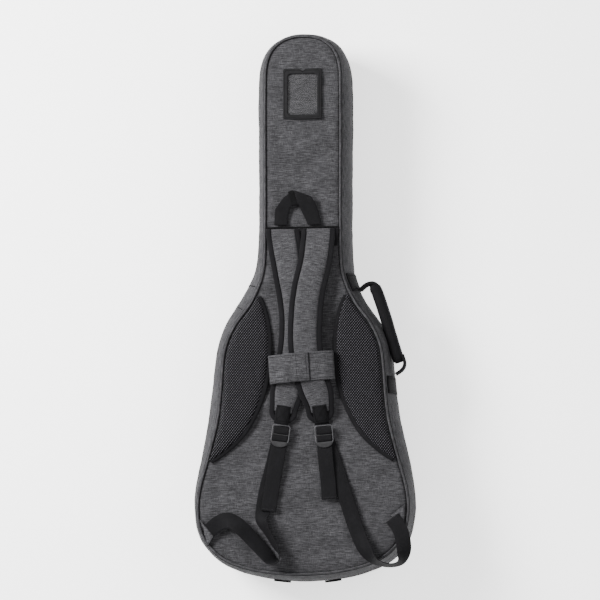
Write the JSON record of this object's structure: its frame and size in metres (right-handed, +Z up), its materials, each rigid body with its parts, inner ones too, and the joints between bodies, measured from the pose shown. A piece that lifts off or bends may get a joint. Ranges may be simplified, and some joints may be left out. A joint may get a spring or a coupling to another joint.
{
  "type": "padded gig bag",
  "caption": "Padded guitar gig bag with backpack straps, mesh back pads, side handle, haul loop, zip-round lid and front pockets.",
  "frame": {"origin": "on the floor under the bag's centreline, on the resting face of the front accessory pocket", "axes": "+Y towards the neck end, +Z up out of the back panel, +X to the right of someone looking down on the straps"},
  "size_m": [0.4379, 1.101, 0.193],
  "materials": {
    "heather_fabric": "matt melange weave",
    "webbing": "matt woven webbing",
    "binding": "matt grosgrain binding",
    "spacer_mesh": "matt open spacer mesh",
    "plush": "brushed plush",
    "foam": "matt foam",
    "clear_film": "clear glossy film",
    "buckle_plastic": "satin moulded plastic",
    "rubber": "matt rubber",
    "zip_tape": "matt woven tape",
    "zip_metal": "satin dark metal"
  },
  "bodies": {
    "front_shell": {"front_panel": "heather_fabric", "front_gusset": "heather_fabric", "front_piping": "heather_fabric", "front_lining": "plush", "front_zip_tape": "zip_tape", "hinge_strip": "heather_fabric", "foot_left": "rubber", "foot_right": "rubber", "pocket_panel": "heather_fabric", "pocket_wall": "heather_fabric", "pocket_zip": "zip_tape", "neck_pocket": "heather_fabric", "neck_pocket_zip": "zip_tape", "neck_cradle": "foam"},
    "back_shell": {"back_panel_upper": "heather_fabric", "back_panel_lower": "heather_fabric", "back_gusset": "heather_fabric", "back_piping": "heather_fabric", "back_lining": "plush", "back_zip_tape": "zip_tape", "seam_tape": "binding", "mesh_pad_left": "spacer_mesh", "mesh_pad_right": "spacer_mesh", "mesh_binding_left": "binding", "mesh_binding_right": "binding", "tag_frame": "binding", "tag_window": "clear_film", "corner_tab_left": "heather_fabric", "corner_tab_right": "heather_fabric", "handle_patch_upper": "webbing", "handle_patch_lower": "webbing", "left_lower_webbing": "webbing", "right_lower_webbing": "webbing"},
    "left_strap": {"left_strap": "heather_fabric", "left_strap_binding": "binding", "left_strap_patch": "webbing", "wrap_base": "heather_fabric"},
    "right_strap": {"right_strap": "heather_fabric", "right_strap_binding": "binding", "right_strap_patch": "webbing"},
    "wrap_flap_left": {"wrap_flap_left": "heather_fabric"},
    "wrap_flap_right": {"wrap_flap_right": "heather_fabric"},
    "left_ladder_lock": {"left_ladder_lock": "buckle_plastic"},
    "right_ladder_lock": {"right_ladder_lock": "buckle_plastic"},
    "left_tail": {"left_tail": "webbing"},
    "right_tail": {"right_tail": "webbing"},
    "haul_loop": {"haul_loop": "webbing"},
    "side_handle": {"handle_grip": "webbing", "handle_end_upper": "webbing", "handle_end_lower": "webbing"},
    "main_slider_upper": {"main_slider_upper": "zip_metal"},
    "main_pull_upper": {"main_pull_upper": "zip_metal"},
    "main_slider_lower": {"main_slider_lower": "zip_metal"},
    "main_pull_lower": {"main_pull_lower": "zip_metal"},
    "pocket_slider": {"pocket_slider": "zip_metal"},
    "pocket_pull": {"pocket_pull": "zip_metal"},
    "neck_pocket_slider": {"neck_pocket_slider": "zip_metal"},
    "neck_pocket_pull": {"neck_pocket_pull": "zip_metal"},
    "neck_strap": {"neck_strap": "webbing"}
  },
  "joints": [
    {"name": "lid_hinge", "type": "hinge", "parent": "front_shell", "child": "back_shell", "pos_m": [-0.2214, -0.39, 0.0965], "axis": [0, -1, 0], "range_deg": [0, 165]},
    {"name": "left_strap_lift", "type": "hinge", "parent": "back_shell", "child": "left_strap", "pos_m": [0, 0.154, 0.1632], "axis": [-1, 0, 0], "range_deg": [0, 12]},
    {"name": "right_strap_lift", "type": "hinge", "parent": "back_shell", "child": "right_strap", "pos_m": [0, 0.154, 0.1632], "axis": [-1, 0, 0], "range_deg": [0, 12]},
    {"name": "wrap_flap_left_peel", "type": "hinge", "parent": "left_strap", "child": "wrap_flap_left", "pos_m": [-0.06774, -0.12593, 0.1734], "axis": [0.0872, -0.9962, 0], "range_deg": [0, 140]},
    {"name": "wrap_flap_right_peel", "type": "hinge", "parent": "left_strap", "child": "wrap_flap_right", "pos_m": [0.06376, -0.11442, 0.1788], "axis": [-0.0872, 0.9962, 0], "range_deg": [0, 70]},
    {"name": "left_lock_tilt", "type": "hinge", "parent": "left_strap", "child": "left_ladder_lock", "pos_m": [-0.0402, -0.2378, 0.1666], "axis": [-0.9903, 0.1392, 0], "range_deg": [0, 30]},
    {"name": "right_lock_tilt", "type": "hinge", "parent": "right_strap", "child": "right_ladder_lock", "pos_m": [0.0422, -0.2392, 0.1666], "axis": [-0.9962, -0.0872, 0], "range_deg": [0, 30]},
    {"name": "left_tail_swing", "type": "hinge", "parent": "left_ladder_lock", "child": "left_tail", "pos_m": [-0.0455, -0.273, 0.171], "axis": [-0.9903, 0.1392, 0], "range_deg": [0, 80]},
    {"name": "right_tail_swing", "type": "hinge", "parent": "right_ladder_lock", "child": "right_tail", "pos_m": [0.0445, -0.273, 0.171], "axis": [-0.9962, -0.0872, 0], "range_deg": [0, 80]},
    {"name": "haul_loop_lift", "type": "hinge", "parent": "back_shell", "child": "haul_loop", "pos_m": [0, 0.1635, 0.163], "axis": [1, 0, 0], "range_deg": [0, 110]},
    {"name": "side_handle_swing", "type": "hinge", "parent": "back_shell", "child": "side_handle", "pos_m": [0.1125, 0.043, 0.127], "axis": [0.3618, -0.9322, 0], "range_deg": [-8, 25], "deforming": ["handle_end_upper", "handle_end_lower"]},
    {"name": "main_slider_upper_run", "type": "slide", "parent": "front_shell", "child": "main_slider_upper", "axis": [0, 1, 0], "range_m": [0, 0.11]},
    {"name": "main_pull_upper_swing", "type": "hinge", "parent": "main_slider_upper", "child": "main_pull_upper", "pos_m": [-0.0953, 0.325, 0.0955], "axis": [0, 1, 0], "range_deg": [0, 150]},
    {"name": "main_slider_lower_run", "type": "slide", "parent": "front_shell", "child": "main_slider_lower", "axis": [0, -1, 0], "range_m": [0, 0.14]},
    {"name": "main_pull_lower_swing", "type": "hinge", "parent": "main_slider_lower", "child": "main_pull_lower", "pos_m": [-0.0953, 0.307, 0.0955], "axis": [0, 1, 0], "range_deg": [0, 150]},
    {"name": "pocket_slider_run", "type": "slide", "parent": "front_shell", "child": "pocket_slider", "axis": [-0.09, 0.9959, 0], "range_m": [0, 0.06]},
    {"name": "pocket_pull_swing", "type": "hinge", "parent": "pocket_slider", "child": "pocket_pull", "pos_m": [0.151, -0.1894, 0.018], "axis": [0, 0, -1], "range_deg": [0, 100]},
    {"name": "neck_pocket_slider_run", "type": "slide", "parent": "front_shell", "child": "neck_pocket_slider", "axis": [0, 1, 0], "range_m": [0, 0.08]},
    {"name": "neck_pocket_pull_swing", "type": "hinge", "parent": "neck_pocket_slider", "child": "neck_pocket_pull", "pos_m": [0.0626, 0.3056, 0.018], "axis": [0, 0, -1], "range_deg": [0, 100]},
    {"name": "neck_strap_lift", "type": "hinge", "parent": "front_shell", "child": "neck_strap", "pos_m": [-0.058, 0.3225, 0.0832], "axis": [0, -1, 0], "range_deg": [0, 30]}
  ],
  "couplings": [
    {"joint": "right_strap_lift", "follows": "left_strap_lift", "ratio": 1},
    {"joint": "wrap_flap_right_peel", "follows": "wrap_flap_left_peel", "ratio": 0.5}
  ]
}
